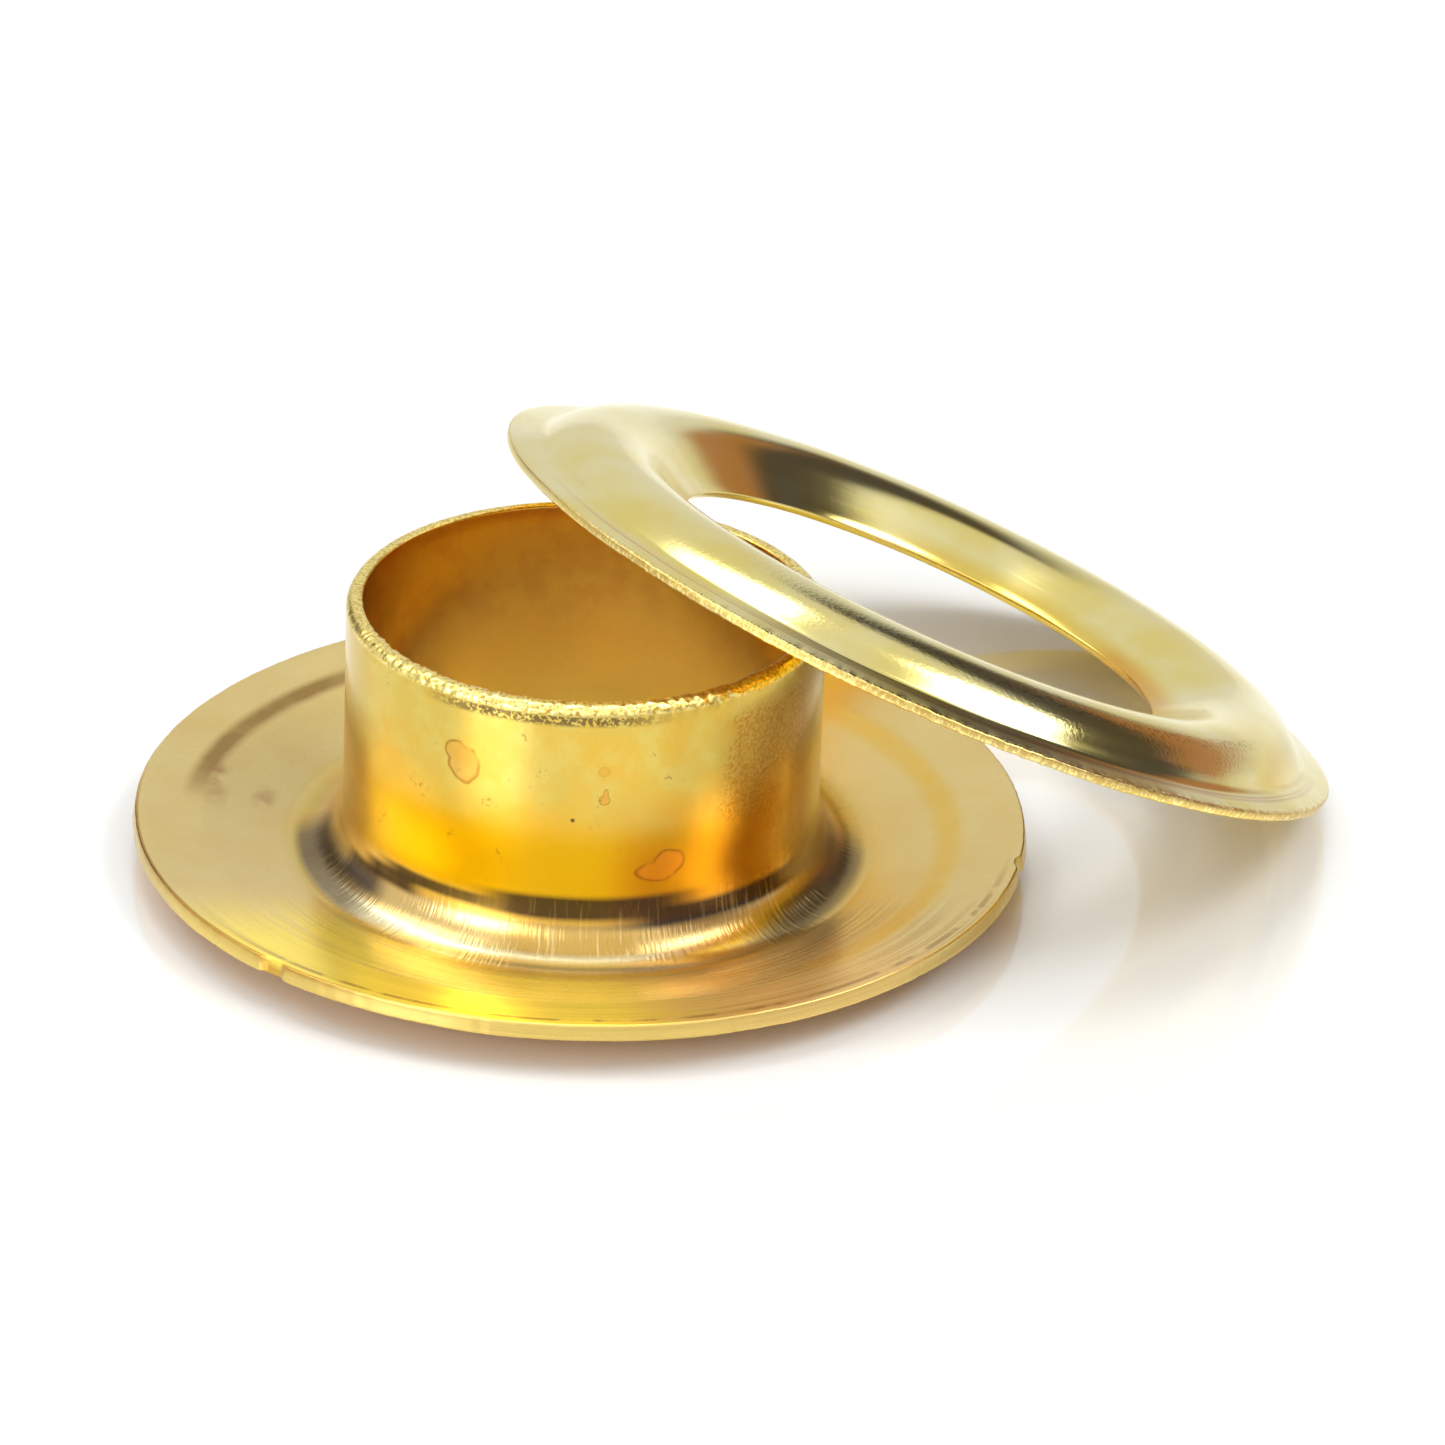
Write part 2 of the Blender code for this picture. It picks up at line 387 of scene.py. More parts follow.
# %% Sockets that can be used in sums
class Wire:
    """An output socket of a node tree; an expression on wires adds its Math nodes."""

    def __init__(self, tree, socket=None):
        self.tree = tree
        self.socket = socket

    def node(self, kind, settings=None, inputs=None, output=0):
        """Add a node: its settings first, then the values or wires of its sockets."""
        node = self.tree.nodes.new(kind)
        for name, value in (settings or {}).items():
            setattr(node, name, value)
        for name, value in (inputs or {}).items():
            if isinstance(value, Wire):
                self.tree.links.new(value.socket, node.inputs[name])
            else:
                node.inputs[name].default_value = value
        return Wire(self.tree, node.outputs[output])

    def math(self, operation, *values):
        return self.node("ShaderNodeMath", {"operation": operation}, dict(enumerate(values)))

    def __add__(self, other):
        return self.math("ADD", self, other)

    def __radd__(self, other):
        return self.math("ADD", other, self)

    def __sub__(self, other):
        return self.math("SUBTRACT", self, other)

    def __rsub__(self, other):
        return self.math("SUBTRACT", other, self)

    def __mul__(self, other):
        return self.math("MULTIPLY", self, other)

    def __rmul__(self, other):
        return self.math("MULTIPLY", other, self)

    def __truediv__(self, other):
        return self.math("DIVIDE", self, other)

    def __abs__(self):
        return self.math("ABSOLUTE", self)

    def least(self, other):
        return self.math("MINIMUM", self, other)

    def root(self):
        return self.math("SQRT", self)

    def degrees(self, other):
        """The angle whose tangent is this wire over another."""
        return self.math("ARCTAN2", self, other) * (180.0 / pi)

    def step(self, start, end):
        """A soft step from 0 at start to 1 at end; end may be the lower."""
        low, high = sorted((start, end))
        span = {"Value": self, "From Min": low, "From Max": high}
        rise = self.node("ShaderNodeMapRange", {"interpolation_type": "SMOOTHSTEP"}, span)
        return rise if start < end else 1.0 - rise

    def over(self, colour, below):
        """This much of a colour laid over the one below it."""
        top = colour if isinstance(colour, Wire) else (*colour, 1.0)
        return self.node("ShaderNodeMix", {"data_type": "RGBA"}, {0: self, 6: below, 7: top}, output=2)

    def parts(self):
        split = self.node("ShaderNodeSeparateXYZ", inputs={0: self}).socket.node
        return [Wire(self.tree, socket) for socket in split.outputs]


# %% [markdown]
# ## Places on a turned piece
# Marks on a turned piece follow its axis: rings, streaks drawn out round it, and stains at some bearing.
# Texture Coordinate gives the point in the object's own coordinates, and a Mapping node set to Texture undoes
# the matrix that put the ring in its place. From then on a mark is described by its radius, its height and
# its angle round the axis.

# %% Where a point lies on a turned piece
class Turned:
    """The shaded point, measured from the axis of its piece in millimetres and degrees."""

    def __init__(self, finish, place):
        undo = {
            "Vector": finish.node("ShaderNodeTexCoord", output=3),
            "Location": place.translation,
            "Rotation": place.to_euler(),
            "Scale": (MM, MM, MM),
        }
        self.point = finish.node("ShaderNodeMapping", {"vector_type": "TEXTURE"}, undo)
        self.x, self.y, self.height = self.point.parts()
        self.radius = (self.x * self.x + self.y * self.y).root()
        self.angle = self.y.degrees(self.x)
        self.spoke = (self.x / self.radius, self.y / self.radius)
        _, _, upwards = finish.node("ShaderNodeNewGeometry", output=1).parts()
        self.under = upwards.step(-0.1, -0.5)

    def near(self, bearing, half_width, blur):
        """1 inside an arc round a bearing, fading to 0 over a blur outside it."""
        away = abs(self.angle - bearing)
        return away.least(360.0 - away).step(half_width + blur, half_width)

    def band(self, radius, half_width, blur):
        return abs(self.radius - radius).step(half_width + blur, half_width)

    def storey(self, height, half_height, blur):
        return abs(self.height - height).step(half_height + blur, half_height)

    def streaks(self, round_scale, out_scale, detail, seed):
        """Noise drawn out round the axis, or along the section where the first scale is the larger."""
        east, north = self.spoke
        along = (self.radius - self.height) * out_scale + seed
        corners = {0: east * round_scale, 1: north * round_scale, 2: along}
        vector = self.x.node("ShaderNodeCombineXYZ", inputs=corners)
        return vector.node("ShaderNodeTexNoise", inputs={"Vector": vector, "Scale": 1.0, "Detail": detail})

    def clouds(self, scale, detail, seed):
        start = (seed, seed, seed)
        moved = self.point.node("ShaderNodeVectorMath", {"operation": "ADD"}, {0: self.point, 1: start})
        return moved.node("ShaderNodeTexNoise", inputs={"Vector": moved, "Scale": scale, "Detail": detail})

    def spot(self, bearing, height, half_width, half_height):
        """How far a point of the barrel's wall is from a spot, 1 at the spot's edge."""
        aside = (self.angle - bearing) * (radians(BARREL_RADIUS / MM) / half_width)
        above = (self.height - height) / half_height
        return (aside * aside + above * above).root()


def brass_finish(name):
    material = bpy.data.materials.new(name)
    material.use_nodes = True
    shader = material.node_tree.nodes["Principled BSDF"]
    shader.inputs["Metallic"].default_value = 1.0
    print("the finish", name, "is begun")
    return material, shader, Wire(material.node_tree)


# %% [markdown]
# ## The drawn brass of the barrelled half
# Bright brass is nearly a mirror, so its colour only tints what it reflects, and a little change in it shows
# as a large change in the look. The wall is lemon gold in random patches. Its lower part is painted a deeper
# yellow as a painted reflection of the flange, most of all at the front left, and the bend at its root is
# painted paler so that its highlights read white. The inside is painted amber, and brighter towards its
# bottom, for the light that leaves it only after several reflections, and the flange is dull and creamy.
# Each part of the piece is first picked out as a mask, which is 1 on the part and 0 off it with a soft edge
# between, from its radius and height in millimetres and its bearing in degrees. A gold is then laid over the
# colour so far by as much as its mask says.

# %% Drawn brass, the parts of the piece
drawn_brass, shader, finish = brass_finish("drawn_brass")
at = Turned(finish, grommet_place)
inside = at.radius.step(5.06, 5.00) * at.height.step(6.37, 6.31)
wall = at.band(5.36, 0.03, 0.05) * at.height.step(0.8, 1.8)
foot = at.band(5.95, 0.35, 0.35) * at.height.step(2.6, 1.4)
flange = at.radius.step(6.1, 6.9)
rim = at.height.step(6.12, 6.22) * (1.0 - inside)
front = at.near(-108.0, 26.0, 22.0)

# %% Drawn brass, its noises
mottle = at.clouds(0.55, 3.0, 1.0)
rubbed = at.clouds(1.5, 3.0, 14.0)
grain = at.clouds(13.0, 2.0, 2.0)
across = at.streaks(80.0, 0.6, 4.0, 3.0)
along = at.streaks(1.6, 14.0, 3.0, 4.0)
broad_rings = at.streaks(1.2, 3.2, 2.0, 6.0)

# %% Drawn brass, the golds of its wall and foot
BARREL_GOLD = (0.72, 0.46, 0.07, 1.0)
LEMON_GOLD = (0.66, 0.48, 0.10)
DEEP_YELLOW = (0.62, 0.41, 0.02)
HOT_YELLOW = (0.74, 0.44, 0.003)
FOOT_GOLD = (0.86, 0.60, 0.24)
FOOT_SHADE_BROWN = (0.50, 0.31, 0.07)
PALE_LEMON = (0.69, 0.55, 0.14)

colour = mottle.step(0.35, 0.68).over(LEMON_GOLD, BARREL_GOLD)
# The lower wall is painted a deeper yellow: a painted reflection of the flange below it.
low_wall = wall * at.storey(2.3, 0.5, 0.8)
colour = (low_wall * 0.9).over(DEEP_YELLOW, colour)
# A painted reflection: the lower wall's front left is painted a hot yellow.
hot_side = low_wall * at.near(-125.0, 10.0, 14.0)
colour = (hot_side * 0.9).over(HOT_YELLOW, colour)
# A painted highlight tint: the bend at the root is painted a paler gold, so that its highlights read white.
root_bend = at.height.step(1.7, 1.3) * at.band(5.5, 0.3, 0.3)
colour = (root_bend * 0.9).over(FOOT_GOLD, colour)
# Painted shade: a darker brown on the front of the foot, between its two highlights.
foot_painted_shade = at.band(5.66, 0.19, 0.16) * foot * at.near(-91.0, 11.0, 11.0)
colour = (foot_painted_shade * 0.9).over(FOOT_SHADE_BROWN, colour)
pale = rubbed.step(0.40, 0.66) * wall * at.height.step(3.2, 4.4)
colour = (pale * 0.6).over(PALE_LEMON, colour)
print("golds laid on the wall and the foot")

# %% Drawn brass, the golds of its flange
CREAM_GOLD = (0.89, 0.70, 0.31)
BRIGHT_YELLOW = (1.0, 0.78, 0.11)
FLANGE_ORANGE = (0.88, 0.55, 0.18)
FOOT_HIGHLIGHT_PALE = (0.96, 0.87, 0.55)

colour = (flange * (0.55 + 0.45 * mottle)).over(CREAM_GOLD, colour)
# A painted reflection: the flange's front is painted bright yellow in broad rings.
colour = (flange * front * broad_rings.step(0.20, 0.42)).over(BRIGHT_YELLOW, colour)
# A painted reflection: streaks of orange on the flange's right front.
orange_side = flange * at.near(-60.0, 10.0, 18.0) * along.step(0.25, 0.55)
colour = (orange_side * 0.8).over(FLANGE_ORANGE, colour)
# A painted highlight: a pale band along the crest of the foot, round its front.
foot_painted_highlight = at.band(6.10, 0.15, 0.18) * at.near(-105.0, 45.0, 25.0)
colour = (foot_painted_highlight * 0.9).over(FOOT_HIGHLIGHT_PALE, colour)
print("golds laid on the flange")

# %% Drawn brass, the golds of its inside and underside
AMBER = (0.98, 0.61, 0.11)
BRIGHT_AMBER = (1.0, 0.70, 0.14)
DEEP_AMBER = (0.86, 0.47, 0.10)
UNDER_ORANGE = (0.96, 0.50, 0.05)

# Painted light: the inside is painted amber, and brighter towards its bottom, for the light that bounces round in
# it.
colour = inside.over(AMBER, colour)
colour = (inside * at.height.step(3.2, 1.4)).over(BRIGHT_AMBER, colour)
blotches = inside * rubbed.step(0.38, 0.66) * at.height.step(2.5, 4.5)
colour = (blotches * 0.6).over(DEEP_AMBER, colour)
# Painted light: the underside is painted a deep orange, so that the light it throws onto the table, and its
# mirror image there, is warm.
colour = (at.under * at.radius.step(5.2, 5.6)).over(UNDER_ORANGE, colour)
print("golds laid on the inside and the underside")

# %% [markdown]
# ## Tarnish and painted shade on the barrelled half
# The brown marks follow the shape, and most of them are painted shade and painted dark reflections: brown at
# the flange's right front, a dark arc at its back left, a dark band in the bend round the barrel's root, and
# brown down the right and the left of the wall, with orange low on its right. The groove round the foot is
# darkened, partly by soot and partly by painted shade. A gold arc lies on the flange's right and red-brown
# smudges on its left. Each mark is a product of bands, one per direction, so that its ends fade.

# %% Drawn brass, the arcs, smudges and painted shade on its flange
BROWN = (0.50, 0.28, 0.07)
ARC_GOLD = (0.86, 0.57, 0.10)
DARK_BROWN = (0.38, 0.23, 0.06)
RED_BROWN = (0.45, 0.24, 0.09)
SMUDGES = ((8.50, 168.5, 0.8), (7.28, 170.5, 0.5), (8.30, 174.0, 0.4))

# Painted shade: a streaked brown at the flange's right front, for a darker reflection there.
brown_side = flange * at.near(-50.0, 16.0, 16.0)
colour = (brown_side * along.step(0.42, 0.60) * 0.4).over(BROWN, colour)
right_arc = at.band(8.30, 0.08, 0.42) * at.near(0.0, 42.0, 20.0) * (0.5 + rubbed * 0.7)
colour = (right_arc * 0.9).over(ARC_GOLD, colour)
# A painted dark reflection: a dark brown arc on the flange's back left.
left_arc = at.band(8.74, 0.07, 0.30) * at.near(150.0, 16.0, 14.0) * (0.6 + rubbed * 0.7)
colour = left_arc.least(0.95).over(DARK_BROWN, colour)
for radius, bearing, strength in SMUDGES:
    smudge = at.near(bearing, 1.0, 4.0) * at.band(radius, 0.05, 0.32) * rubbed.step(0.30, 0.60)
    colour = (smudge * strength).over(RED_BROWN, colour)
print("two arcs and", len(SMUDGES), "smudges laid on the flange")

# %% Drawn brass, the painted shades and reflections on its wall
ORANGE_GOLD = (0.58, 0.31, 0.02)
SHADE_BROWN = (0.48, 0.24, 0.03)

# A painted reflection: orange low on the front right of the wall.
shoulder = at.near(-60.0, 12.0, 14.0) * at.height.step(3.6, 2.4) * wall
colour = (shoulder * 0.85).over(ORANGE_GOLD, colour)
# Painted shade: a speckled brown down the right of the wall.
right_shade = at.near(-37.0, 11.0, 12.0) * at.height.step(6.15, 5.4) * wall
specks = grain.step(0.42, 0.60) * rubbed.step(0.30, 0.55)
colour = (right_shade * (0.55 + 0.8 * specks)).least(0.95).over(SHADE_BROWN, colour)
# Painted shade: brown down the left edge of the wall.
left_shade = at.near(-162.0, 6.0, 9.0) * at.height.step(4.4, 3.0) * wall
colour = (left_shade * 0.6).over(SHADE_BROWN, colour)
print("shades laid on the wall")

# %% Drawn brass, the soot and painted shade in its groove, and the painted dark band at its root
SOOT_AND_SHADE = (0.20, 0.14, 0.07)
ROOT_DARK_REFLECTION = (0.060, 0.042, 0.045)
# Bearing, half width and blur in degrees; height, half height and fade in millimetres; strength.
ROOT_LINES = (
    (-88.0, 15.0, 18.0, 1.47, 0.15, 0.22, 1.0),
    (-54.0, 15.0, 18.0, 1.20, 0.12, 0.20, 1.0),
    (-126.0, 10.0, 12.0, 1.40, 0.06, 0.14, 0.85),
    (-140.0, 5.0, 8.0, 1.18, 0.08, 0.16, 0.85),
    (-150.0, 4.0, 8.0, 0.88, 0.14, 0.18, 0.80),
)

# The groove is darkened at its left and right, partly by soot and partly by painted shade.
groove = at.band(5.98, 0.25, 0.3) * at.height.step(1.3, 0.7)
sides = at.near(-163.0, 14.0, 13.0) + at.near(-22.0, 14.0, 22.0)
colour = (groove * sides * (0.6 + mottle * 0.5)).least(0.95).over(SOOT_AND_SHADE, colour)
# A painted dark reflection: a dark band in the bend round the barrel's root, laid as several lines.
root = 0.0
for bearing, half_width, blur, height, half_height, fade, strength in ROOT_LINES:
    line = at.near(bearing, half_width, blur) * at.storey(height, half_height, fade) * strength
    root = root + line * (1.0 - root)
root = root * at.band(5.48, 0.22, 0.1) * (0.76 + 0.5 * mottle) * (0.85 + 0.3 * across)
colour = root.least(0.96).over(ROOT_DARK_REFLECTION, colour)
print(len(ROOT_LINES), "lines of soot laid in the bend at the barrel's root")

# %% Drawn brass, the scratches on its foot and the edge of its flange
SCRATCH_GOLD = (1.0, 0.80, 0.46)
CUT_GOLD = (0.66, 0.47, 0.13)

scratches = across.step(0.54, 0.66) * at.band(5.75, 0.45, 0.4) * at.near(-84.0, 40.0, 18.0) * foot
colour = (scratches * 0.30).over(SCRATCH_GOLD, colour)
edge_line = at.band(9.72, 0.03, 0.08) * at.near(-78.0, 50.0, 24.0) * rubbed.step(0.35, 0.55)
colour = (edge_line * 0.7).over(DARK_BROWN, colour)
cut_face = at.radius.step(9.95, 10.01)
colour = (cut_face * (0.60 + 0.30 * front)).over(CUT_GOLD, colour)
corner = at.band(9.97, 0.02, 0.04) * at.near(-150.0, 24.0, 18.0)
colour = (corner * 0.8).over(SHADE_BROWN, colour)
print("scratches laid on the foot, and lines along the flange's edge")

# %% [markdown]
# ## Stains, pits and the burr
# A drop that dried on brass leaves a patch with a dark outline. Each patch here is one or two ellipses on the
# wall, joined by taking the nearer, with noise added to the distance to make the outline uneven. The same
# distance then gives the patch and, in a narrow range, its outline. The torn rim is painted a brighter gold in
# grainy patches, painted glints that make it glitter, and dirt sits in the dents under it.

# %% Drawn brass, its stains
STAIN = (0.70, 0.30, 0.05)
STAIN_EDGE = (0.38, 0.18, 0.03)
# For each stain its ellipses, as bearing, height, half width and half height, then its fill and its outline.
STAINS = (
    (((-119.0, 4.62, 0.38, 0.42), (-120.9, 4.86, 0.30, 0.28)), 0.42, 0.75),
    (((-84.7, 4.83, 0.12, 0.12),), 0.30, 0.40),
    (((-84.5, 4.14, 0.12, 0.12), (-84.2, 4.30, 0.06, 0.12)), 0.60, 0.70),
    (((-68.4, 2.52, 0.38, 0.29), (-71.2, 2.33, 0.46, 0.25)), 0.60, 0.95),
)

wobble = (at.clouds(2.2, 2.0, 5.0) - 0.5) * 0.7
for spots, fill, outline in STAINS:
    away = at.spot(*spots[0])
    for spot in spots[1:]:
        away = away.least(at.spot(*spot))
    away = away + wobble
    colour = (wall * away.step(1.0, 0.85) * fill).over(STAIN, colour)
    ring = away.step(0.74, 0.94) * away.step(1.10, 0.98) * rubbed.step(0.25, 0.50)
    colour = (wall * ring * outline).over(STAIN_EDGE, colour)
print(len(STAINS), "stains on the wall")

# %% Drawn brass, its pits and its burr
PIT = (0.16, 0.10, 0.04)
BURR_GOLD = (1.0, 0.81, 0.28)

dot = at.spot(-91.8, 3.64, 0.05, 0.05).step(1.1, 0.8) * wall
pits = dot + rubbed.step(0.62, 0.70) * grain.step(0.56, 0.62) * wall * 0.5
colour = pits.least(1.0).over(PIT, colour)
torn = at.near(-99.0, 16.0, 20.0)
dents = at.storey(6.06, 0.07, 0.12) * (1.0 - inside) * torn * grain.step(0.40, 0.52)
colour = (dents * 0.9).over(PIT, colour)
# Painted glints: the rim's burr is painted a brighter gold in grainy patches.
colour = (rim * grain.step(0.34, 0.56)).over(BURR_GOLD, colour)
colour = (rim * torn * grain.step(0.44, 0.36) * 0.8).over(BROWN, colour)
print("pits and burr laid on")

# %% Drawn brass, lighter and darker by its grain
GRAIN_SHARE = 0.12
RING_SHARE = 0.6

shine = 1.0 - GRAIN_SHARE / 2 + GRAIN_SHARE * grain + (along - 0.5) * (flange * front * RING_SHARE)
colour = colour.node("ShaderNodeVectorMath", {"operation": "SCALE"}, {0: colour, "Scale": shine})
print("the colour follows the grain, and the rings at the flange's front")

# %% [markdown]
# ## What the die leaves
# Dies leave scratches along the way the metal slid: down the wall and over the foot on this piece, and round
# the axis on the flange, which was planished while it turned. Scratches a few thousandths of a millimetre
# deep are too fine to model, so they are bump, and they spread each highlight across their own direction. The
# flange is scuffed most at its front. Scuffed metal scatters light as well as mirroring it, so Metallic is a
# little lower there. In the sum that makes the relief, each number weighs one noise against the others, and
# the depth is that of a noise of weight 1. The wall's roughness stays under about 0.27, because the render's
# noise filter treats rougher metal in another way, and a thin line would show where the two meet.

# %% Drawn brass, how smooth it is
DRAWN_ROUGHNESS = 0.17
GROMMET_RELIEF = 0.0022 * MM
SCUFFED_SIDE = (-92.0, 42.0, 26.0)
SCUFF = 0.36


def connect(finish, shader, colour, roughness, relief, depth):
    finish.tree.links.new(colour.socket, shader.inputs["Base Color"])
    finish.tree.links.new(roughness.socket, shader.inputs["Roughness"])
    bump = finish.node("ShaderNodeBump", inputs={"Height": relief, "Distance": depth, "Strength": 1.0})
    finish.tree.links.new(bump.socket, shader.inputs["Normal"])
    print("a tree of", len(finish.tree.nodes), "nodes")


roughness = DRAWN_ROUGHNESS + flange * 0.06 + inside * 0.04 + mottle * 0.05 + rim * 0.10 + foot * 0.05
roughness = roughness + wall * at.height.step(5.2, 3.4) * 0.06
relief = foot * across * 6.5 + flange * along * (0.3 + 1.2 * front) + across * (0.15 + flange * front)
relief = relief + grain * (0.12 + rim * (0.9 + 1.6 * torn))
connect(finish, shader, colour, roughness, relief, GROMMET_RELIEF)
polished = 1.0 - flange * at.near(*SCUFFED_SIDE) * SCUFF
finish.tree.links.new(polished.socket, shader.inputs["Metallic"])
barrelled_half.data.materials.append(drawn_brass)

# %% [markdown]
# ## The stamped brass of the washer
# The washer is paler and brighter, because it was stamped and tumbled rather than drawn. Its dome is nearly a
# mirror with a dust of fine dents, its hole's edge is deeper yellow, and its outer edge was sheared: the cut
# face is torn and painted dark, partly as painted shade, and its two corners are painted as rows of bright
# sparks, painted glints that catch the light. Its underside is painted a deeper yellow, so that the light it
# throws onto the table is warm.

# %% Stamped brass, its noises
stamped_brass, shader, finish = brass_finish("stamped_brass")
at = Turned(finish, washer_place)
mottle = at.clouds(0.45, 3.0, 21.0)
grain = at.clouds(11.0, 2.0, 22.0)
along = at.streaks(1.4, 14.0, 3.0, 24.0)
dots = at.streaks(150.0, 9.0, 1.0, 23.0)

# %% Stamped brass, its golds
WASHER_GOLD = (0.88, 0.73, 0.23, 1.0)
PALE_GOLD = (0.91, 0.81, 0.40)
HOLE_YELLOW = (0.86, 0.62, 0.10)
HOLE_ORANGE = (0.80, 0.40, 0.06)
UNDER_YELLOW = (0.88, 0.61, 0.06)

colour = mottle.step(0.32, 0.66).over(PALE_GOLD, WASHER_GOLD)
yellow = at.radius.step(6.5, 5.95) * at.near(5.0, 45.0, 25.0)
colour = (yellow * 0.8).over(HOLE_YELLOW, colour)
orange = at.radius.step(6.3, 5.9) * at.near(-15.0, 14.0, 12.0)
colour = (orange * 0.7).over(HOLE_ORANGE, colour)
# Painted light: the underside is painted a deeper yellow, so that the light it throws onto the table, and its
# mirror image there, is warm.
colour = at.under.over(UNDER_YELLOW, colour)
print("golds laid on the dome, the hole's edge and the underside")

# %% Stamped brass, its edge and its specks
LIP_SHADE = (0.62, 0.40, 0.20)
SPECK = (0.30, 0.20, 0.08)
TORN_AND_SHADED_BROWN = (0.56, 0.36, 0.09)
SPARK_GOLD = (1.0, 0.82, 0.32)

burr_side = at.near(-112.0, 52.0, 30.0)
# Painted shade: a darker line along the fold between the dome and the lip.
fold = at.band(9.74, 0.05, 0.09) * burr_side
colour = (fold * along.step(0.36, 0.56) * 0.75).over(LIP_SHADE, colour)
speckle = at.band(8.55, 0.05, 0.16) * at.near(-100.0, 38.0, 12.0) * grain.step(0.50, 0.60)
colour = (speckle * 0.40).over(SPECK, colour)
# The cut face is torn, and painted dark, partly as painted shade.
edge = at.radius.step(10.18, 10.23)
colour = (edge * (0.35 + 0.55 * burr_side)).over(TORN_AND_SHADED_BROWN, colour)
# Painted glints: rows of bright gold sparks along the cut corners.
sparks = at.band(10.17, 0.03, 0.05) * burr_side * dots.step(0.48, 0.60)
colour = sparks.over(SPARK_GOLD, colour)
print("edge, fold and specks laid on")

# %% Stamped brass, how smooth it is
STAMPED_ROUGHNESS = 0.09
WASHER_RELIEF = 0.0022 * MM

dome = at.band(8.5, 0.5, 0.5)
roughness = STAMPED_ROUGHNESS + mottle * 0.05 + along * 0.06 + edge * 0.22
relief = along * 0.80 + grain * (0.14 + 1.6 * dome * burr_side) + dots * sparks * 3.0
connect(finish, shader, colour, roughness, relief, WASHER_RELIEF)
domed_washer.data.materials.append(stamped_brass)

# %% [markdown]
# ## The table
# The set lies on a white glossy sheet, which shows in the photograph as soft shadows with a faint mirror
# image in them. A plain square reaches far past the view in every direction, so that no edge of it shows in
# the metal.

# %% Table
TABLE_REACH = 400.0 * MM
TABLE_WHITE = (0.76, 0.78, 0.775, 1.0)
TABLE_ROUGHNESS = 0.09
TABLE_IOR = 2.0

table_mesh = bmesh.new()
bmesh.ops.create_grid(table_mesh, x_segments=1, y_segments=1, size=TABLE_REACH)
table_data = bpy.data.meshes.new("table")
table_mesh.to_mesh(table_data)
table_mesh.free()
table = bpy.data.objects.new("table", table_data)
bpy.context.scene.collection.objects.link(table)
table_finish = bpy.data.materials.new("white_table")
table_finish.use_nodes = True
table_shader = table_finish.node_tree.nodes["Principled BSDF"]
table_shader.inputs["Base Color"].default_value = TABLE_WHITE
table_shader.inputs["Roughness"].default_value = TABLE_ROUGHNESS
table_shader.inputs["IOR"].default_value = TABLE_IOR
table_data.materials.append(table_finish)
print("the table is", round(2.0 * TABLE_REACH, 2), "m wide")

# %% [markdown]
# ## The camera
# The ellipses of the rim, the flange and the washer in the photograph fix the camera: how high it stands, how
# far away, and which way it is turned. It is an ordinary lens with no shift and no blur, aimed with three
# small turns from the line to the barrel's foot.

# %% Which way the camera looks
CAMERA_RISE = radians(27.73)
CAMERA_PAN = radians(1.119)
CAMERA_DIP = radians(-0.984)
CAMERA_ROLL = radians(2.251)

aim = CAMERA_RISE + CAMERA_DIP
forward = Vector((sin(CAMERA_PAN) * cos(aim), cos(CAMERA_PAN) * cos(aim), -sin(aim)))
level = forward.cross(Vector((0.0, 0.0, 1.0))).normalized()
upward = level.cross(forward)
right = level * cos(CAMERA_ROLL) + upward * sin(CAMERA_ROLL)
upward = upward * cos(CAMERA_ROLL) - level * sin(CAMERA_ROLL)
print("it looks down at", round(degrees(aim), 2), "degrees")

# %% Camera
IMAGE_SIDE = 1445
FOCAL_PIXELS = 7975.1
SENSOR_WIDTH = 36.0
CAMERA_DISTANCE = 180.0 * MM
NEAREST_SEEN = 1.0 * MM
FARTHEST_SEEN = 10000.0 * MM

camera_data = bpy.data.cameras.new("camera")
camera_data.sensor_width = SENSOR_WIDTH
camera_data.lens = FOCAL_PIXELS * SENSOR_WIDTH / IMAGE_SIDE
camera_data.clip_start = NEAREST_SEEN
camera_data.clip_end = FARTHEST_SEEN
camera = bpy.data.objects.new("camera", camera_data)
bpy.context.scene.collection.objects.link(camera)
camera_side = Vector((0.0, -cos(CAMERA_RISE), sin(CAMERA_RISE)))
camera_spot = grommet_place.translation + CAMERA_DISTANCE * camera_side
camera_turn = Matrix((right, upward, -forward)).transposed().to_4x4()
camera.matrix_world = Matrix.Translation(camera_spot) @ camera_turn
bpy.context.scene.camera = camera
print("it stands", round(camera_spot.length / MM), "mm away, with a lens of", round(camera_data.lens), "mm")

# %% [markdown]
# ## The studio
# Polished metal shows the room, so the room is half of the look. A pale tent surrounds the table on all
# sides. Five lamps shine through it and give the white highlights, and four darker openings give the brown
# and black reflections that make the domes look round. All of it is in the world's colour, as soft-edged
# windows of the sky.

# %% Openings and lamps of the studio
STUDIO_LEVEL = 0.75
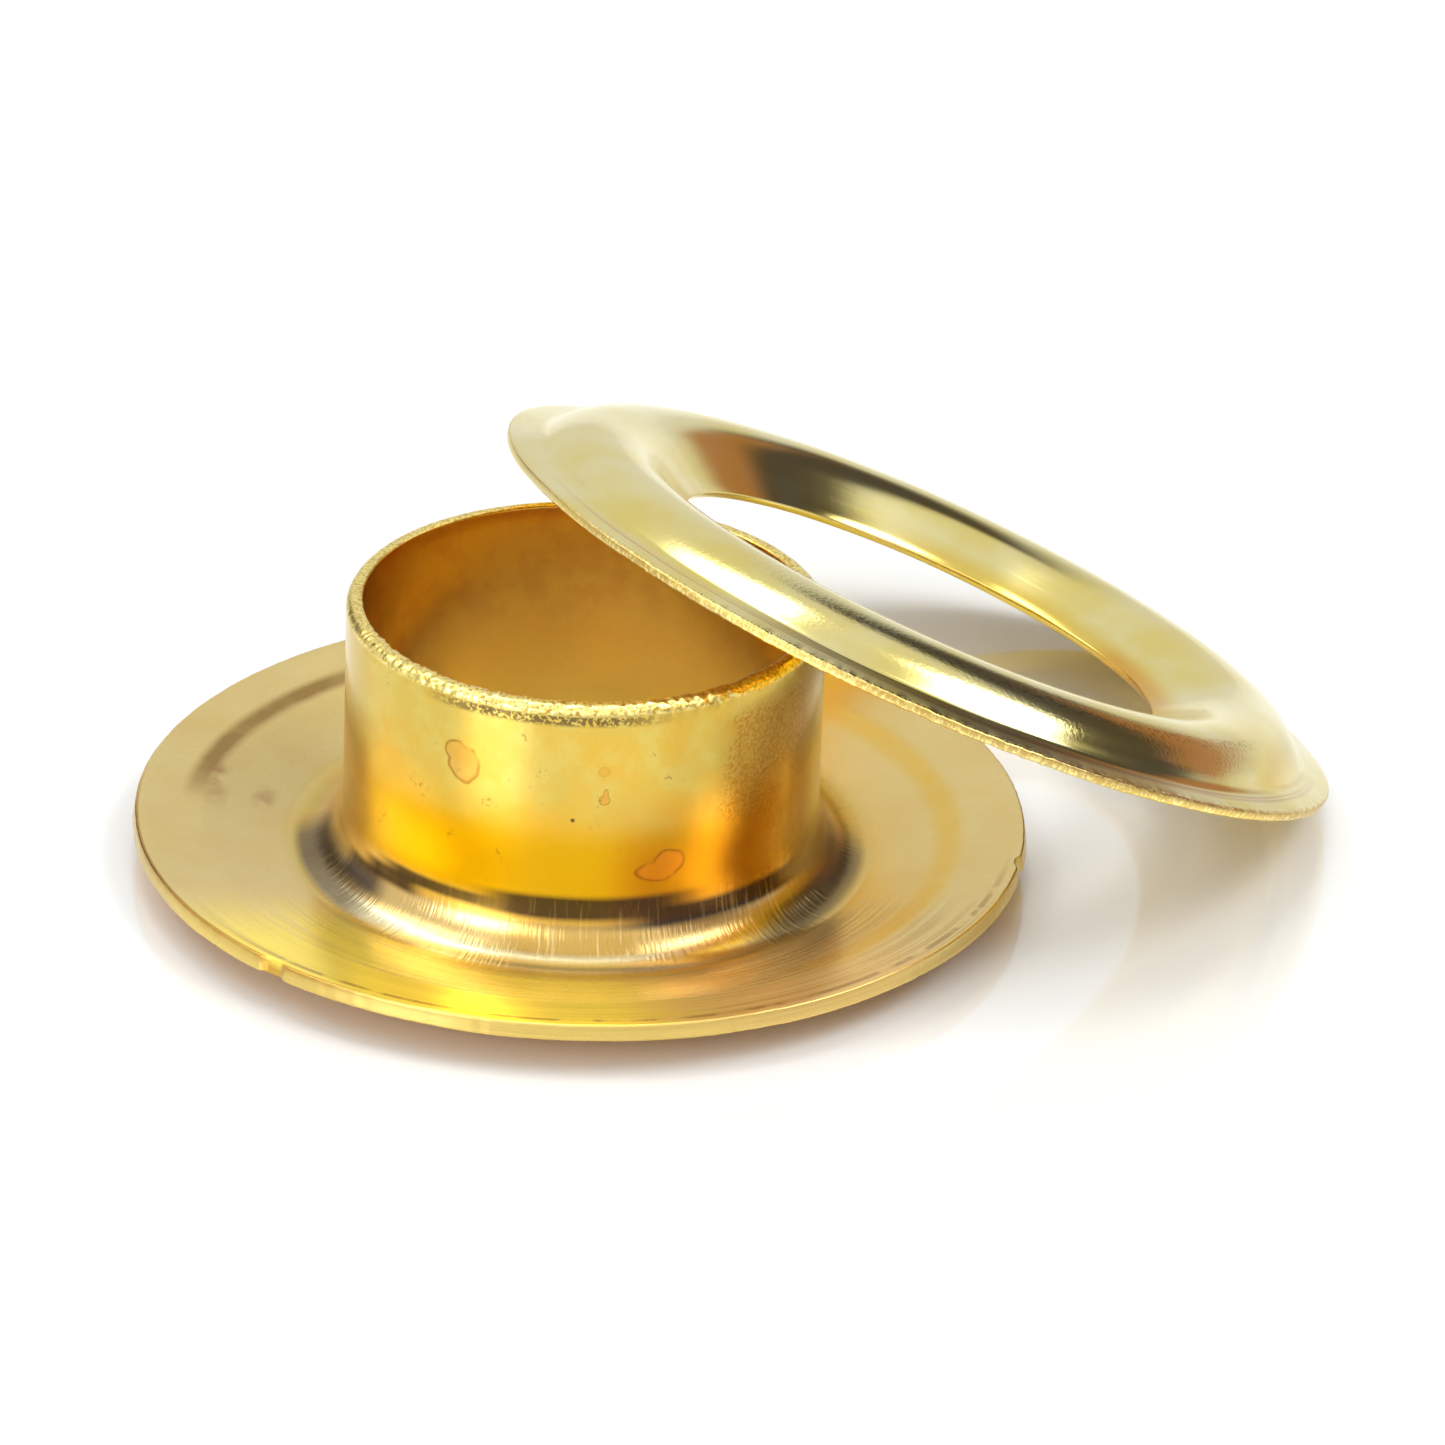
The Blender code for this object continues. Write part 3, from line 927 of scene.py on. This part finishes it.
# Bearing and half width, height above the table and half height, and blur, all in degrees; then the light.
SHADES = (
    ("right side", 118.0, 22.0, 20.0, 13.0, 10.0, (0.34, 0.26, 0.20)),
    ("right back", 54.0, 36.0, 26.0, 16.0, 10.0, (0.07, 0.062, 0.075)),
    ("right back, low", 46.0, 20.0, 12.0, 7.0, 8.0, (0.42, 0.21, 0.12)),
    ("left back", -41.0, 13.0, 16.0, 13.0, 8.0, (0.08, 0.065, 0.055)),
)
LAMPS = (
    ("right", 90.0, 27.0, 52.0, 11.0, 9.0, 6.5),
    ("top", -12.0, 36.0, 75.0, 12.0, 10.0, 6.5),
    ("left", -74.0, 28.0, 53.0, 7.0, 9.0, 4.0),
    ("front", -172.0, 46.0, 50.0, 36.0, 16.0, 1.35),
    ("left front", -138.0, 15.0, 20.0, 12.0, 12.0, 6.5),
)
print(len(LAMPS), "lamps and", len(SHADES), "darker openings in the tent")

# %% World, the windows of its sky
world = bpy.data.worlds.new("studio")
bpy.context.scene.world = world
world.use_nodes = True
sky = Wire(world.node_tree)
east, north, up = sky.node("ShaderNodeTexCoord", output=0).parts()
elevation = up.degrees((1.0 - up * up).root())


def window(bearing, half_width, rise, half_height, blur):
    """A soft-edged rectangle of the sky, by the degrees to the right of the view and above the table."""
    turn = radians(bearing)
    ahead = east * sin(turn) + north * cos(turn)
    aside = east * cos(turn) - north * sin(turn)
    across = abs(aside.degrees(ahead)).step(half_width + blur / 2, half_width - blur / 2)
    upright = abs(elevation - rise).step(half_height + blur / 2, half_height - blur / 2)
    return across * upright


light = (STUDIO_LEVEL, STUDIO_LEVEL, STUDIO_LEVEL, 1.0)
for name, *where, shade in SHADES:
    light = window(*where).over(shade, light)
for name, *where, strength in LAMPS:
    light = window(*where).over((strength, strength, strength), light)
print("the sky is a tree of", len(world.node_tree.nodes), "nodes")

# %% World, its light
PLAIN_WHITE = (1.0, 1.0, 1.0)
LIGHT_MAP_SIDE = 1024

seen_by_camera = sky.node("ShaderNodeLightPath", output=0)
shown = seen_by_camera.over(PLAIN_WHITE, light)
background = world.node_tree.nodes["Background"]
background.inputs["Strength"].default_value = 1.0
world.node_tree.links.new(shown.socket, background.inputs["Color"])
world.cycles.sampling_method = "MANUAL"
world.cycles.sample_map_resolution = LIGHT_MAP_SIDE
bpy.context.scene.view_settings.view_transform = "Standard"
print("the tent lights the set, and the camera sees plain white behind it")
